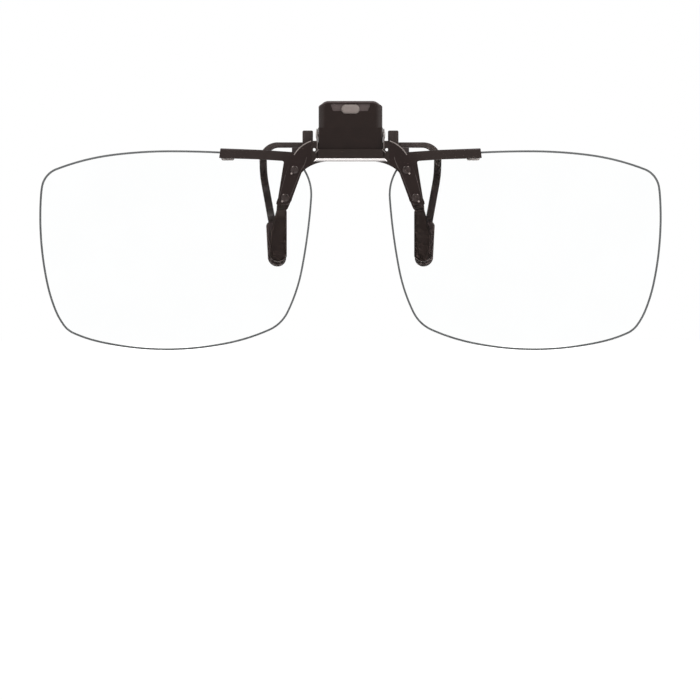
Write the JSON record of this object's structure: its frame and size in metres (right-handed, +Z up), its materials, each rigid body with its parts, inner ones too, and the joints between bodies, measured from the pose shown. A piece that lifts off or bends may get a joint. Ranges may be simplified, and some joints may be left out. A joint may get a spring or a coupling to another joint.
{
  "type": "flip-up clip-on glasses",
  "caption": "Flip-up clip-on glasses: clear lenses on a hinged bridge, with a spring clip whose padded legs grip the wearer's own frame.",
  "frame": {"origin": "the clip seat: on the mirror plane, in the plane of the front pads' rear faces, at the middle of the gripped height", "axes": "+X along the lenses to the viewer's right, +Y from the front towards the wearer's face, +Z up"},
  "size_m": [0.1302, 0.0122, 0.0522],
  "materials": {
    "bronze_black": "satin",
    "dark_strip": "satin",
    "dark_fastener": "satin",
    "pad_rubber": "matte",
    "spring_steel": "satin",
    "bright_steel": "polished",
    "lens": "polished",
    "clear_nylon": "gloss"
  },
  "bodies": {
    "clip_base": {"front_housing": "bronze_black", "base_plate": "bronze_black", "front_leg_left": "dark_strip", "front_leg_right": "dark_strip", "front_pad_left": "pad_rubber", "front_pad_right": "pad_rubber", "detent_leaf": "spring_steel", "clamp_pin": "bright_steel", "torsion_spring": "spring_steel", "leg_rivets": "dark_fastener"},
    "flip_frame": {"flip_bridge": "bronze_black", "bridge_lip": "bright_steel", "lens_bracket_left": "bronze_black", "lens_bracket_right": "bronze_black", "flip_pin": "bright_steel", "flip_cam": "dark_fastener", "lens_left": "lens", "lens_right": "lens", "lens_screws_left": "dark_fastener", "lens_screws_right": "dark_fastener", "lens_sleeves_left": "clear_nylon", "lens_sleeves_right": "clear_nylon", "lens_washers_left": "clear_nylon", "lens_washers_right": "clear_nylon", "lens_nuts_left": "bright_steel", "lens_nuts_right": "bright_steel", "fold_liner_left": "clear_nylon", "fold_liner_right": "clear_nylon"},
    "rear_clamp": {"clamp_plate": "bronze_black", "rear_arm_left": "dark_strip", "rear_arm_right": "dark_strip", "rear_pad_left": "pad_rubber", "rear_pad_right": "pad_rubber", "arm_rivets": "dark_fastener"}
  },
  "joints": [
    {"name": "flip", "type": "hinge", "parent": "clip_base", "child": "flip_frame", "pos_m": [0, -0.00272, 0.02285], "axis": [-1, 0, 0], "range_deg": [0, 90]},
    {"name": "clamp", "type": "hinge", "parent": "clip_base", "child": "rear_clamp", "pos_m": [0, 0.0002, 0.0215], "axis": [1, 0, 0], "range_deg": [0, 25], "stiffness_Nm_per_rad": 0.1, "springref_deg": -28.65, "deforming": ["torsion_spring"]}
  ]
}
